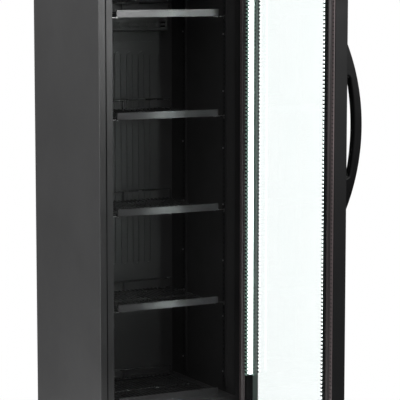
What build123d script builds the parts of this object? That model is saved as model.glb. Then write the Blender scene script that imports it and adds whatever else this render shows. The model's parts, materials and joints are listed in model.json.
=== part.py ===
from build123d import *
import math
import os

# A tall single-door glass merchandiser. Millimetres, +Z up, the front faces -Y.
# The origin is the centre of the cabinet's footprint, on the floor under the feet.
# At rest the door stands open. Its pieces are drawn as if it stood open by exactly a
# right angle, reaching along -Y, and save_door then turns them to the resting angle.

# ---- driving dimensions ----
WIDTH = 595.0
BODY_DEPTH = 568.0
HEIGHT = 1990.0
FOOT_LIFT = 25.0
SHEET = 1.2

FLANGE_WIDTH = 52.5
FLANGE_DEPTH = 10.0
FLANGE_BOTTOM = 186.0
CABIN_CEILING = 1930.0
CABIN_DEPTH = 501.0
LINER_WALL = 2.0
DECK_Z = 225.0

DOOR_REST_OPEN = 92.5
DOOR_THICKNESS = 52.0
DOOR_BOTTOM = 195.0
DOOR_TOP = 1978.0
DOOR_GAP = 12.0
PIVOT_FROM_EDGE = 16.0
PIVOT_FROM_INNER_FACE = 30.0
HINGE_STILE = 50.0
HANDLE_STILE = 60.0
DOOR_RAIL = 60.0
DOOR_CORNER = 3.0
GLASS_RECESS = 25.0
PANE = 4.0
GLASS_GAP = 12.0
GLASS_BITE = 12.0
SPACER_SHOWS = 9.0

PIN_RADIUS = 4.0
RUNNING_CLEARANCE = 0.05
BUSH_RADIUS = 7.0
BUSH_LENGTH = 20.0

LED_BOTTOM = 370.0
LED_TOP = 1803.0

SLOT_PITCH = 17.2
FLOOR_RACK_TOP = 303.0
FIRST_SHELF_TOP = 643.0
SHELF_STEPS = (20, 20, 21)
RAIL_LENGTH = 406.0
RAIL_HEIGHT = 25.0
RAIL_SETBACK = 51.0
SHELF_DEPTH = 379.0
SHELF_DROP = 15.8
BACK_STOP_RISE = 35.0
PILASTER_SETBACKS = (69.5, 386.0)
PILASTER_WIDTH = 22.0
PILASTER_DEPTH = 8.0

HANDLE_BOTTOM = 1002.0
HANDLE_TOP = 1613.0
HANDLE_REACH = 74.0
HANDLE_FINGER_GAP = 40.0
HANDLE_GAP_AT_ENDS = 20.0
HANDLE_GAP_CORNER = 12.0
HANDLE_SECTION = 28.0
HANDLE_EDGE = 7.0
HANDLE_FROM_EDGE = 30.0
HANDLE_FOOT = 135.0

# ---- places worked out from them ----
HALF = WIDTH / 2
FRONT = -BODY_DEPTH / 2
BACK = BODY_DEPTH / 2
CABIN_HALF = HALF - FLANGE_WIDTH
CABIN_FLOOR = FLOOR_RACK_TOP - RAIL_HEIGHT
CABIN_BACK = FRONT + CABIN_DEPTH
PIVOT_X = HALF - PIVOT_FROM_EDGE
PIVOT_Y = FRONT - DOOR_GAP - PIVOT_FROM_INNER_FACE
DOOR_INNER = PIVOT_X - PIVOT_FROM_INNER_FACE
DOOR_OUTER = DOOR_INNER + DOOR_THICKNESS
DOOR_HINGE_EDGE = PIVOT_Y + PIVOT_FROM_EDGE
DOOR_FREE_EDGE = DOOR_HINGE_EDGE - WIDTH
REVEAL_HINGE = DOOR_HINGE_EDGE - HINGE_STILE
REVEAL_HANDLE = DOOR_FREE_EDGE + HANDLE_STILE
GLASS_INNER = DOOR_INNER + GLASS_RECESS
GLASS_OUTER = GLASS_INNER + 2 * PANE + GLASS_GAP
RAIL_Y = FRONT + RAIL_SETBACK
FOOT_PLACES = [(x, y) for x in (-240.0, 240.0) for y in (-230.0, 235.0)]

UP = (Align.CENTER, Align.CENTER, Align.MIN)


def block(x0, x1, y0, y1, z0, z1):
    """A box between two opposite corners."""
    middle = Pos((x0 + x1) / 2, (y0 + y1) / 2, (z0 + z1) / 2)
    return middle * Box(abs(x1 - x0), abs(y1 - y0), abs(z1 - z0))


def bar(radius, start, end):
    """A round bar from one point to another."""
    along = Vector(*end) - Vector(*start)
    return Plane(origin=start, z_dir=along) * Cylinder(radius, along.length, align=UP)


def joined(shapes):
    """One solid from pieces that touch or overlap."""
    shapes = list(shapes)
    first = shapes[0]
    return first.fuse(*shapes[1:]).clean() if len(shapes) > 1 else first


def group(shapes):
    """Separate solids kept together in one node."""
    return Compound(children=list(shapes))


def mirrored(shape):
    """The same piece on the other side of the cabinet's middle plane."""
    return mirror(shape, about=Plane.YZ)


def save(name, shape):
    export_step(shape, "parts/" + name + ".step")


def save_door(name, shape):
    """Turn a door piece from a right angle to its resting angle, then save it."""
    hinge = Axis((PIVOT_X, PIVOT_Y, 0), (0, 0, 1))
    save(name, shape.rotate(hinge, DOOR_REST_OPEN - 90))


# ---------------------------------------------------------------- cabinet shell
CORNER_RETURN = 30.0
REAR_OPENING_HALF = 232.0
REAR_OPENING_LOW = 45.0
REAR_OPENING_HIGH = 212.0
GROOVE_FROM_SIDE = 25.0
GROOVE_WIDTH = 3.0
GROOVE_DEPTH = 2.0


def side_panel_left():
    return block(-HALF, -HALF + SHEET, FRONT, BACK - CORNER_RETURN, FOOT_LIFT, HEIGHT)


def back_panel():
    sheet = block(-HALF, HALF, BACK - SHEET, BACK, FOOT_LIFT, HEIGHT)
    near, far = BACK - CORNER_RETURN, BACK - SHEET
    left = block(-HALF, -HALF + SHEET, near, far, FOOT_LIFT, HEIGHT)
    panel = joined([sheet, left, mirrored(left)])
    corners = panel.edges().filter_by(Axis.Z).group_by(Axis.Y)[-1]
    panel = fillet(corners, 1.0)
    half, low, high = REAR_OPENING_HALF, REAR_OPENING_LOW, REAR_OPENING_HIGH
    return panel - block(-half, half, BACK - 5, BACK + 5, low, high)


def top_panel():
    edge = HALF - SHEET
    return block(-edge, edge, FRONT, BACK - SHEET, HEIGHT - SHEET, HEIGHT)


def ring(half_x, low, high, width_side, width_low, width_high, y0, y1):
    """An upright rectangular ring that faces the front."""
    outer = block(-half_x, half_x, y0, y1, low, high)
    inner_half = half_x - width_side
    return outer - block(-inner_half, inner_half, y0 - 1, y1 + 1, low + width_low, high - width_high)


def front_flange():
    edge = HALF - SHEET
    top = HEIGHT - SHEET
    side = edge - CABIN_HALF
    low = CABIN_FLOOR - FLANGE_BOTTOM
    high = top - CABIN_CEILING
    flange = ring(edge, FLANGE_BOTTOM, top, side, low, high, FRONT, FRONT + FLANGE_DEPTH)
    inset = GROOVE_FROM_SIDE
    width = GROOVE_WIDTH
    half = HALF - inset
    bottom = FLANGE_BOTTOM + inset
    groove = ring(half, bottom, HEIGHT - inset, width, width, width, FRONT - 1, FRONT + GROOVE_DEPTH)
    return flange - groove


def liner_block(grow):
    half = CABIN_HALF + grow
    back = CABIN_BACK + grow
    return block(-half, half, FRONT + FLANGE_DEPTH, back, CABIN_FLOOR - grow, CABIN_CEILING + grow)


DRAIN_PLACE = (-60.0, CABIN_BACK - 30)
DRAIN_RADIUS = 6.0


def inner_liner():
    shell = liner_block(LINER_WALL) - liner_block(0)
    x, y = DRAIN_PLACE
    return shell - Pos(x, y, CABIN_FLOOR) * Cylinder(DRAIN_RADIUS, 20)


def foam_insulation():
    edge = HALF - SHEET
    low = DECK_Z + SHEET
    front = FRONT + FLANGE_DEPTH
    foam = block(-edge, edge, front, BACK - SHEET, low, HEIGHT - SHEET)
    x, y = DRAIN_PLACE
    drain = Pos(x, y, low) * Cylinder(DRAIN_RADIUS, 200)
    return foam - liner_block(LINER_WALL) - drain


def bottom_plate():
    edge = HALF - SHEET
    plate = block(-edge, edge, FRONT + FLANGE_DEPTH, BACK - SHEET, DECK_Z, DECK_Z + SHEET)
    x, y = DRAIN_PLACE
    return plate - Pos(x, y, DECK_Z) * Cylinder(DRAIN_RADIUS, 10)


def drain_pipe():
    x, y = DRAIN_PLACE
    low = DECK_Z - 90
    high = CABIN_FLOOR - LINER_WALL
    pipe = Pos(x, y, low) * Cylinder(DRAIN_RADIUS, high - low, align=UP)
    return pipe - Pos(x, y, low - 1) * Cylinder(DRAIN_RADIUS - 1, high - low + 2, align=UP)


# ---------------------------------------------------------------- base and feet
PAN_THICKNESS = 2.0
SOCKET_RADIUS = 14.0
SOCKET_HEIGHT = 22.0
STEM_RADIUS = 5.0
FOOT_RADIUS = 20.0


def base_pan():
    edge = HALF - SHEET
    low = FOOT_LIFT
    pan = block(-edge, edge, FRONT, BACK - SHEET, low, low + PAN_THICKNESS)
    front_lip = block(-edge, edge, FRONT, FRONT + PAN_THICKNESS, low, low + 15)
    back_lip = block(-edge, edge, BACK - SHEET - PAN_THICKNESS, BACK - SHEET, low, low + 18)
    sockets = [
        Pos(x, y, low + 1) * Cylinder(SOCKET_RADIUS, SOCKET_HEIGHT, align=UP) for x, y in FOOT_PLACES
    ]
    pan = joined([pan, front_lip, back_lip, *sockets])
    bore = STEM_RADIUS + RUNNING_CLEARANCE
    for x, y in FOOT_PLACES:
        pan -= Pos(x, y, low - 1) * Cylinder(bore, SOCKET_HEIGHT + 10, align=UP)
    for i in range(6):
        y = -190.0 + 22 * i
        pan -= block(-200, -60, y, y + 8, low - 5, low + 10)
    return pan


def levelling_foot(x, y):
    """A moulded pad on a threaded stem, with a hexagonal collar for a spanner."""
    pad = Pos(x, y, 0) * Cylinder(FOOT_RADIUS, 9, align=UP)
    pad = fillet(pad.edges().filter_by(GeomType.CIRCLE).group_by(Axis.Z)[-1], 4)
    collar = Pos(x, y, 8) * extrude(RegularPolygon(11, 6), 8)
    stem = Pos(x, y, 12) * Cylinder(STEM_RADIUS, 40, align=UP)
    return joined([pad, collar, stem])


# ---------------------------------------------------------------- front grille
GRILLE_LOW = 32.0
GRILLE_HIGH = 182.0
GRILLE_DEPTH = 16.0
GRILLE_WALL = 2.5
SLATS = 9


def lower_grille():
    """A moulded cover with turned-back edges and two columns of slots."""
    edge = HALF - 0.5
    front = FRONT - GRILLE_DEPTH
    shell = block(-edge, edge, front, FRONT, GRILLE_LOW, GRILLE_HIGH)
    shell = fillet(shell.edges().group_by(Axis.Y)[0], 6)
    wall = GRILLE_WALL
    low, high = GRILLE_LOW + wall, GRILLE_HIGH - wall
    hollow = block(-edge + wall, edge - wall, front + wall, FRONT + 1, low, high)
    pitch = (GRILLE_HIGH - GRILLE_LOW - 30) / SLATS
    slots = []
    for i in range(SLATS):
        z = GRILLE_LOW + 17 + pitch * i
        for middle in (-136.0, 136.0):
            slots.append(block(middle - 120, middle + 120, front - 1, front + 9, z, z + 6.5))
    return shell - hollow - slots


def cap_screw(x, y, z, radius=4.5, height=2.4):
    """A domed screw head that faces the front, with a cross recess."""
    head = Pos(x, y, z) * Rot(90, 0, 0) * Cylinder(radius, height, align=UP)
    head = fillet(head.edges().filter_by(GeomType.CIRCLE).group_by(Axis.Y)[0], 1.2)
    slot = Box(radius, 1.4, 0.9) + Box(0.9, 1.4, radius)
    return head - Pos(x, y - height, z) * slot


# ---------------------------------------------------------------- machine compartment
PAN_TOP = FOOT_LIFT + PAN_THICKNESS
MOUNT_HEIGHT = 14.0
COMPRESSOR_X = 120.0
COMPRESSOR_Y = 150.0
COMPRESSOR_RADIUS = 68.0
COMPRESSOR_PLATE = 3.0
COMPRESSOR_LOW = PAN_TOP + MOUNT_HEIGHT + COMPRESSOR_PLATE
MOUNT_PLACES = [
    (COMPRESSOR_X + dx, COMPRESSOR_Y + dy) for dx in (-80.0, 80.0) for dy in (-50.0, 50.0)
]
COIL_X0, COIL_X1 = -215.0, -25.0
COIL_Y0, COIL_Y1 = -235.0, -185.0
COIL_Z0, COIL_Z1 = 32.0, 205.0
COIL_MIDDLE = (COIL_X0 + COIL_X1) / 2
FAN_Z = (COIL_Z0 + COIL_Z1) / 2
SHROUD_DEPTH = 34.0
FAN_OPENING = 76.0


def compressor():
    """A welded steel capsule on a pressed base plate, with its terminal cover."""
    low = COMPRESSOR_LOW
    body = Pos(COMPRESSOR_X, COMPRESSOR_Y, low) * Cylinder(COMPRESSOR_RADIUS, 155, align=UP)
    body = fillet(body.edges().filter_by(GeomType.CIRCLE), 36)
    seam = Pos(COMPRESSOR_X, COMPRESSOR_Y, low + 84) * Cylinder(COMPRESSOR_RADIUS + 2.5, 7, align=UP)
    plate = block(
        COMPRESSOR_X - 95, COMPRESSOR_X + 95, COMPRESSOR_Y - 62, COMPRESSOR_Y + 62, low - 3, low
    )
    plate = fillet(plate.edges().filter_by(Axis.Z), 12)
    neck = Pos(COMPRESSOR_X, COMPRESSOR_Y, low - 1) * Cylinder(40, 10, align=UP)
    side = COMPRESSOR_X - COMPRESSOR_RADIUS
    terminals = block(side - 34, side + 12, COMPRESSOR_Y - 26, COMPRESSOR_Y + 26, low + 38, low + 88)
    terminals = fillet(terminals.edges().group_by(Axis.X)[0], 5)
    return joined([body, seam, plate, neck, terminals])


def compressor_mounts():
    """Four rubber bushes between the compressor's plate and the pan."""
    return group(
        Pos(x, y, PAN_TOP) * Cylinder(11, MOUNT_HEIGHT, align=UP) for x, y in MOUNT_PLACES
    )


def condenser_coil():
    """A finned block between two end plates, with the tube's bends outside them."""
    core = block(COIL_X0 + 4, COIL_X1 - 4, COIL_Y0 + 4, COIL_Y1 - 4, COIL_Z0 + 4, COIL_Z1 - 4)
    fins = int((COIL_X1 - COIL_X0 - 12) / 6)
    grooves = []
    for i in range(fins):
        x = COIL_X0 + 7 + 6 * i
        grooves.append(block(x, x + 3, COIL_Y0, COIL_Y0 + 9, COIL_Z0 + 6, COIL_Z1 - 6))
        grooves.append(block(x, x + 3, COIL_Y1 - 9, COIL_Y1, COIL_Z0 + 6, COIL_Z1 - 6))
    core = core - grooves
    ends = [block(x, x + 2, COIL_Y0, COIL_Y1, COIL_Z0, COIL_Z1) for x in (COIL_X0 + 2.5, COIL_X1 - 4.5)]
    bends = []
    middle = (COIL_Y0 + COIL_Y1) / 2
    for i in range(6):
        z = COIL_Z0 + 16 + 28 * i
        for x, y in ((COIL_X0 + 3, middle), (COIL_X1 - 3, middle)):
            tube = Pos(x, y, z) * Rot(90, 0, 0) * Torus(10, 3.5)
            bends.append(tube)
    return joined([core, *ends, *bends])


def disc(x, y, z, radius, depth):
    """A round disc that faces the front, centred on its depth."""
    return Pos(x, y, z) * Rot(90, 0, 0) * Cylinder(radius, depth)


def spokes(x, y, z, radius, count, width, depth):
    """Flat bars from a centre to a circle, in a plane that faces the front."""
    bars = []
    for i in range(count):
        spoke = Pos(radius / 2, 0, 0) * Box(radius, depth, width)
        bars.append(Pos(x, y, z) * Rot(0, 360 / count * i + 90, 0) * spoke)
    return bars


def fan_shroud():
    """A plate with a round throat and three arms that carry the motor."""
    y0, y1 = COIL_Y1, COIL_Y1 + SHROUD_DEPTH
    box = block(COIL_X0 + 5, COIL_X1 - 5, y0, y1, COIL_Z0, COIL_Z1)
    wall = 2.5
    inside = block(COIL_X0 + 7.5, COIL_X1 - 7.5, y0 - 1, y1 - wall, COIL_Z0 + wall, COIL_Z1 - wall)
    throat = disc(COIL_MIDDLE, y1, FAN_Z, FAN_OPENING, 20)
    hub = disc(COIL_MIDDLE, y1 + 5, FAN_Z, 24, 10)
    arms = spokes(COIL_MIDDLE, y1, FAN_Z, FAN_OPENING + 5, 3, 9, 30)
    throat = throat - arms - disc(COIL_MIDDLE, y1, FAN_Z, 24, 30)
    shell = box - inside - throat
    return joined([shell, hub]) - disc(COIL_MIDDLE, y1, FAN_Z, 8, 40)


def motor(x, y, z, radius, length, shaft):
    """A round motor behind its shaft, which points to the front."""
    can = Pos(x, y, z) * Rot(-90, 0, 0) * Cylinder(radius, length, align=UP)
    can = fillet(can.edges().filter_by(GeomType.CIRCLE).group_by(Axis.Y)[-1], 4)
    return joined([can, bar(3, (x, y + 1, z), (x, y - shaft, z))])


def fan_blades(x, y, z, radius, count, depth, tilt):
    """A hub bored for its shaft, with twisted flat blades, turning about Y."""
    hub_radius = radius * 0.26
    hub = Pos(x, y, z) * Rot(90, 0, 0) * Cylinder(hub_radius, depth)
    hub = fillet(hub.edges().filter_by(GeomType.CIRCLE).group_by(Axis.Y)[0], 3)
    blades = []
    for i in range(count):
        inner, outer = hub_radius - 2, radius
        middle = (inner + outer) / 2
        blade = Pos(middle, 0, 0) * Box(outer - inner, radius * 0.62, 1.8)
        blade = Rot(tilt, 0, 0) * blade
        blade = fillet(blade.edges().filter_by(lambda e: e.length < 2).group_by(Axis.X)[-1], 8)
        placed = Pos(x, y, z) * Rot(90, 0, 0) * Rot(0, 0, 360 / count * i) * blade
        blades.append(placed)
    bore = Pos(x, y, z) * Rot(90, 0, 0) * Cylinder(3 + RUNNING_CLEARANCE, depth + 20)
    return joined([hub, *blades]) - bore


def evaporation_tray():
    """An open tray that catches the melted frost below the drain."""
    x0, x1, y0, y1 = -180.0, -20.0, 60.0, 250.0
    z0, z1 = PAN_TOP, PAN_TOP + 45
    tray = block(x0, x1, y0, y1, z0, z1)
    tray = fillet(tray.edges().filter_by(Axis.Z), 8)
    return tray - block(x0 + 2, x1 - 2, y0 + 2, y1 - 2, z0 + 2, z1 + 1)


def tube_along(points, bend, radius):
    """A pipe bent at each corner of its route."""
    route = FilletPolyline(*points, radius=bend)
    start = Vector(*points[1]) - Vector(*points[0])
    section = Plane(origin=points[0], z_dir=start) * Circle(radius)
    return sweep(section, path=route)


def refrigerant_pipes():
    """The discharge pipe to the condenser, and the suction pipe up into the foam."""
    low = COMPRESSOR_LOW
    edge = COMPRESSOR_X - 30
    near = COMPRESSOR_Y - COMPRESSOR_RADIUS
    out = [
        (edge + 30, near + 4, low + 60),
        (edge + 30, near - 40, low + 60),
        (40, near - 40, low + 60),
        (40, -210, low + 60),
        (COIL_X1 - 2.5, -210, low + 60),
    ]
    back = [
        (COMPRESSOR_X, COMPRESSOR_Y + COMPRESSOR_RADIUS - 4, low + 60),
        (COMPRESSOR_X, COMPRESSOR_Y + 95, low + 60),
        (COMPRESSOR_X + 70, COMPRESSOR_Y + 95, low + 60),
        (COMPRESSOR_X + 70, COMPRESSOR_Y + 95, DECK_Z),
    ]
    return group([tube_along(out, 14, 3), tube_along(back, 14, 4)])


def cord_inlet():
    """A moulded strain-relief gland for the mains lead, low on the back panel."""
    x, z = -255.0, 120.0
    flange = Pos(x, BACK, z) * Rot(-90, 0, 0) * Cylinder(14, 3, align=UP)
    nose = Pos(x, BACK + 2, z) * Rot(-90, 0, 0) * Cone(10, 7, 22, align=UP)
    bore = Pos(x, BACK + 10, z) * Rot(-90, 0, 0) * Cylinder(4, 40, align=UP)
    return joined([flange, nose]) - bore


# ---------------------------------------------------------------- cold plate and fan
PLATE_HALF = 177.0
PLATE_LOW = 649.0
PLATE_HIGH = 1563.0
PLATE_STAND_OFF = 10.0
PLATE_THICKNESS = 2.0
CHANNEL_LOW = 727.0
CHANNEL_HIGH = 1510.0
CHANNEL_PITCH = 24.5
CHANNEL_COUNT = 13
CHANNEL_WIDTH = 7.0
CHANNEL_RISE = 2.5
PLATE_FRONT = CABIN_BACK - PLATE_STAND_OFF - PLATE_THICKNESS


def evaporator_plate():
    """A bonded sheet with one raised channel that runs up and down across it."""
    back = CABIN_BACK - PLATE_STAND_OFF
    plate = block(-PLATE_HALF, PLATE_HALF, PLATE_FRONT, back, PLATE_LOW, PLATE_HIGH)
    plate = fillet(plate.edges().filter_by(Axis.Y), 12)
    y0, y1 = PLATE_FRONT - CHANNEL_RISE, PLATE_FRONT + 0.5
    low, high = CHANNEL_LOW, CHANNEL_HIGH
    first = -CHANNEL_PITCH * (CHANNEL_COUNT - 1) / 2
    pieces = [plate]
    for i in range(CHANNEL_COUNT):
        x = first + CHANNEL_PITCH * i
        half = CHANNEL_WIDTH / 2
        pieces.append(block(x - half, x + half, y0, y1, low, high))
        if i + 1 < CHANNEL_COUNT:
            z = high if i % 2 == 0 else low
            turn = 1 if i % 2 == 0 else -1
            middle = x + CHANNEL_PITCH / 2
            ring_outer = CHANNEL_PITCH / 2 + half
            bend = Cylinder(ring_outer, y1 - y0) - Cylinder(ring_outer - CHANNEL_WIDTH, 10)
            bend = Pos(middle, (y0 + y1) / 2, z) * Rot(90, 0, 0) * bend
            pieces.append(bend & block(middle - 40, middle + 40, y0, y1, z, z + 40 * turn))
    for x in (-PLATE_HALF + 20, PLATE_HALF - 20):
        for z in (PLATE_LOW + 20, PLATE_HIGH - 20):
            pieces.append(bar(5, (x, back - 1, z), (x, CABIN_BACK, z)))
    return joined(pieces)


COVER_HALF = 200.0
COVER_LOW = 1604.0
COVER_HIGH = 1905.0
COVER_DEPTH = 62.0
COVER_WALL = 2.5
AIR_FAN_Z = 1762.0
AIR_FAN_OPENING = 64.0
AIR_FAN_Y = CABIN_BACK - COVER_DEPTH + 14


def evaporator_fan_cover():
    """A moulded housing at the top of the back wall, with a ribbed round mouth."""
    front = CABIN_BACK - COVER_DEPTH
    shell = block(-COVER_HALF, COVER_HALF, front, CABIN_BACK, COVER_LOW, COVER_HIGH)
    shell = fillet(shell.edges().group_by(Axis.Y)[0], 6)
    wall = COVER_WALL
    half = COVER_HALF - wall
    shell -= block(-half, half, front + wall, CABIN_BACK + 1, COVER_LOW + wall, COVER_HIGH - wall)
    mouth = disc(0, front, AIR_FAN_Z, AIR_FAN_OPENING, 20)
    for radius in (18.0, 34.0, 50.0):
        mouth -= disc(0, front, AIR_FAN_Z, radius + 1.5, 30) - disc(0, front, AIR_FAN_Z, radius - 1.5, 40)
    mouth -= spokes(0, front, AIR_FAN_Z, AIR_FAN_OPENING + 4, 8, 2.6, 30)
    shell -= mouth
    for i in range(10):
        x = -171.0 + 38 * i
        for low in (14, 28):
            z = COVER_LOW + low
            shell -= block(x - 14, x + 14, front - 1, front + 8, z, z + 6)
    return shell


def evaporator_fan_motor():
    y = AIR_FAN_Y + 10
    can = motor(0, y, AIR_FAN_Z, 22, CABIN_BACK - y, 14)
    return can


# ---------------------------------------------------------------- controls
CONTROL_X0, CONTROL_X1 = 60.0, 210.0
CONTROL_Y0, CONTROL_Y1 = -215.0, -140.0
CONTROL_LOW = CABIN_CEILING - 46
DIAL_X = 100.0
SWITCH_X = 165.0
CONTROL_Z = CABIN_CEILING - 23
DIAL_RADIUS = 15.0
SWITCH_HALF_WIDTH = 10.0
SWITCH_HALF_HEIGHT = 6.5


def control_box():
    box = block(CONTROL_X0, CONTROL_X1, CONTROL_Y0, CONTROL_Y1, CONTROL_LOW, CABIN_CEILING)
    box = fillet(box.edges().group_by(Axis.Z)[0], 4)
    wide, tall = SWITCH_HALF_WIDTH + 0.6, SWITCH_HALF_HEIGHT + 0.6
    front = CONTROL_Y0
    pocket = block(
        SWITCH_X - wide, SWITCH_X + wide, front - 1, front + 12, CONTROL_Z - tall, CONTROL_Z + tall
    )
    shaft = Pos(DIAL_X, front, CONTROL_Z) * Rot(90, 0, 0) * Cylinder(3 + RUNNING_CLEARANCE, 20)
    return box - pocket - shaft


def thermostat_dial():
    """A ribbed knob with a raised pointer, on a short spindle."""
    face = CONTROL_Y0 - 14
    knob = Pos(DIAL_X, face, CONTROL_Z) * Rot(-90, 0, 0) * Cylinder(DIAL_RADIUS, 13, align=UP)
    knob = fillet(knob.edges().filter_by(GeomType.CIRCLE).group_by(Axis.Y)[0], 2)
    for i in range(18):
        turn = math.radians(20 * i)
        x = DIAL_X + DIAL_RADIUS * math.cos(turn)
        z = CONTROL_Z + DIAL_RADIUS * math.sin(turn)
        knob -= Pos(x, face + 6, z) * Rot(90, 0, 0) * Cylinder(1.0, 8)
    pointer = block(DIAL_X - 1.2, DIAL_X + 1.2, face - 1.2, face + 2, CONTROL_Z, CONTROL_Z + 12)
    spindle = bar(3, (DIAL_X, face + 10, CONTROL_Z), (DIAL_X, CONTROL_Y0 + 9, CONTROL_Z))
    return joined([knob, pointer, spindle])


SWITCH_TILT = 7.0


def light_switch_rocker():
    """A rocker that turns about an upright pin through its middle."""
    half, tall = SWITCH_HALF_WIDTH - 0.6, SWITCH_HALF_HEIGHT - 0.2
    y0 = CONTROL_Y0 - 2.0
    rocker = block(-half, half, y0, y0 + 6.5, CONTROL_Z - tall, CONTROL_Z + tall)
    rocker = fillet(rocker.edges().group_by(Axis.Y)[0], 1)
    pin_y = CONTROL_Y0 + 3.0
    rocker = Pos(SWITCH_X, 0, 0) * rocker
    pin = Axis((SWITCH_X, pin_y, CONTROL_Z), (0, 0, 1))
    return rocker.rotate(pin, SWITCH_TILT)


# ---------------------------------------------------------------- pilasters and clips
PILASTER_LOW = 300.0
PILASTER_HIGH = 1860.0
PILASTER_FACE = CABIN_HALF - PILASTER_DEPTH
PILASTER_YS = [FRONT + setback for setback in PILASTER_SETBACKS]
SCREW_PITCH = 207.7
FIRST_SCREW = 355.5


def rack_top(level):
    """The height of a shelf's front rail: level 0 is the floor rack."""
    if level == 0:
        return FLOOR_RACK_TOP
    return FIRST_SHELF_TOP + SLOT_PITCH * sum(SHELF_STEPS[:level - 1])


def pilaster(y):
    """A folded strip on the left wall, with a ladder of slots for the clips."""
    half = PILASTER_WIDTH / 2
    wall = SHEET
    outer = block(-CABIN_HALF, -PILASTER_FACE, y - half, y + half, PILASTER_LOW, PILASTER_HIGH)
    inner = block(
        -CABIN_HALF - 1, -PILASTER_FACE - wall, y - half + wall, y + half - wall,
        PILASTER_LOW - 1, PILASTER_HIGH + 1,
    )
    strip = outer - inner
    first = clip_height(1) % SLOT_PITCH
    count = int((PILASTER_HIGH - PILASTER_LOW) / SLOT_PITCH) - 1
    start = math.ceil((PILASTER_LOW + 6 - first) / SLOT_PITCH)
    slots = []
    for i in range(count):
        z = first + SLOT_PITCH * (start + i)
        slots.append(block(-PILASTER_FACE - 3, -PILASTER_FACE + 1, y - 2.5, y + 2.5, z - 4, z + 4))
    return strip - slots


def clip_height(level):
    """The middle of the slot that a level's clips hang in."""
    return rack_top(level) - SHELF_DROP - 14.25


def pilasters():
    strips = [pilaster(y) for y in PILASTER_YS]
    return group(strips + [mirrored(strip) for strip in strips])


def pilaster_screws():
    heads = []
    for row, y in enumerate(PILASTER_YS):
        for i in range(0, 8, row + 1):
            z = FIRST_SCREW + SCREW_PITCH * i
            if z < PILASTER_HIGH:
                face = -PILASTER_FACE
                head = Pos(face, y + 6.8, z) * Rot(0, 90, 0) * Cylinder(3.2, 1.6, align=UP)
                heads += [head, mirrored(head)]
    return group(heads)


def shelf_clip(y, z):
    """A bent steel clip: a tab in the slot, a back, and a shelf for the side wire."""
    face = -PILASTER_FACE
    tab = block(face - 2.5, face + 1, y - 2.2, y + 2.2, z - 3, z + 3)
    back = block(face, face + 2, y - 3.4, y + 3.4, z - 6, z + 8)
    ledge = block(face + 1.8, face + 42, y - 8, y + 8, z + 3, z + 5)
    lip = block(face + 40, face + 42, y - 8, y + 8, z + 1, z + 5)
    return joined([tab, back, ledge, lip])


def shelf_clips():
    clips = []
    for level in range(1, 5):
        for y in PILASTER_YS:
            clip = shelf_clip(y, clip_height(level))
            clips += [clip, mirrored(clip)]
    return group(clips)


# ---------------------------------------------------------------- shelves
RIM_RADIUS = 3.0
WIRE_RADIUS = 1.6
WIRE_PITCH = 17.0
RIM_HALF = RAIL_LENGTH / 2 - 2
RAIL_THICKNESS = 1.4


def wire_shelf():
    """A welded wire shelf with its surface at z = 0 and its front just behind the rail."""
    rail_back = RAIL_Y + RAIL_THICKNESS
    front = RAIL_Y + 12
    back = RAIL_Y + SHELF_DEPTH
    rim_z = -RIM_RADIUS - WIRE_RADIUS * 2
    parts = []
    for x in (-RIM_HALF, RIM_HALF):
        parts.append(bar(RIM_RADIUS, (x, front - 3, rim_z), (x, back + 3, rim_z)))
    for y in (front, (front + back) / 2, back):
        parts.append(bar(RIM_RADIUS, (-RIM_HALF, y, rim_z), (RIM_HALF, y, rim_z)))
    count = int(2 * RIM_HALF / WIRE_PITCH)
    start = -WIRE_PITCH * (count - 1) / 2
    wire_z = -WIRE_RADIUS - 0.3
    for i in range(count):
        x = start + WIRE_PITCH * i
        parts.append(bar(WIRE_RADIUS, (x, rail_back, wire_z), (x, back + 4, wire_z)))
    stop = BACK_STOP_RISE - RIM_RADIUS
    for x in (-RIM_HALF, 0, RIM_HALF):
        parts.append(bar(RIM_RADIUS, (x, back, rim_z), (x, back, stop)))
    parts.append(bar(RIM_RADIUS, (-RIM_HALF - 2, back, stop), (RIM_HALF + 2, back, stop)))
    return joined(parts)


def shelf_rail():
    """A folded front rail with its top edge at z = 0."""
    half = RAIL_LENGTH / 2
    t = RAIL_THICKNESS
    face = block(-half, half, RAIL_Y, RAIL_Y + t, -RAIL_HEIGHT, 0)
    top = block(-half, half, RAIL_Y, RAIL_Y + 8, -t, 0)
    low = block(-half, half, RAIL_Y, RAIL_Y + 8, -RAIL_HEIGHT, -RAIL_HEIGHT + t)
    end = block(-half, -half + t, RAIL_Y, RAIL_Y + 8, -RAIL_HEIGHT, 0)
    return joined([face, top, low, end, mirrored(end)])


def shelf_rails():
    rail = shelf_rail()
    return group(Pos(0, 0, rack_top(level)) * rail for level in range(5))


# ---------------------------------------------------------------- door
def door_block(x0, x1, y0, y1, z0=DOOR_BOTTOM, z1=DOOR_TOP):
    return block(x0, x1, y0, y1, z0, z1)


def glass_block(x0, x1, bite):
    low, high = DOOR_BOTTOM + DOOR_RAIL - bite, DOOR_TOP - DOOR_RAIL + bite
    return block(x0, x1, REVEAL_HANDLE - bite, REVEAL_HINGE + bite, low, high)


BUSH_PLACES = (DOOR_BOTTOM, DOOR_TOP - BUSH_LENGTH)


def hinge_stile():
    stile = door_block(DOOR_INNER, DOOR_OUTER, REVEAL_HINGE, DOOR_HINGE_EDGE)
    stile = fillet(stile.edges().filter_by(Axis.Z).group_by(Axis.Y)[-1], DOOR_CORNER)
    stile -= glass_block(GLASS_INNER, GLASS_OUTER, GLASS_BITE)
    for z in BUSH_PLACES:
        stile -= Pos(PIVOT_X, PIVOT_Y, z) * Cylinder(BUSH_RADIUS, BUSH_LENGTH, align=UP)
    return stile


LOCK_Y = DOOR_FREE_EDGE + 18
LOCK_Z = DOOR_BOTTOM + 20
LOCK_RADIUS = 9.0
PLUG_RADIUS = 6.0
CAM_X = DOOR_INNER + 9
CAM_LENGTH = 32.0


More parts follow.
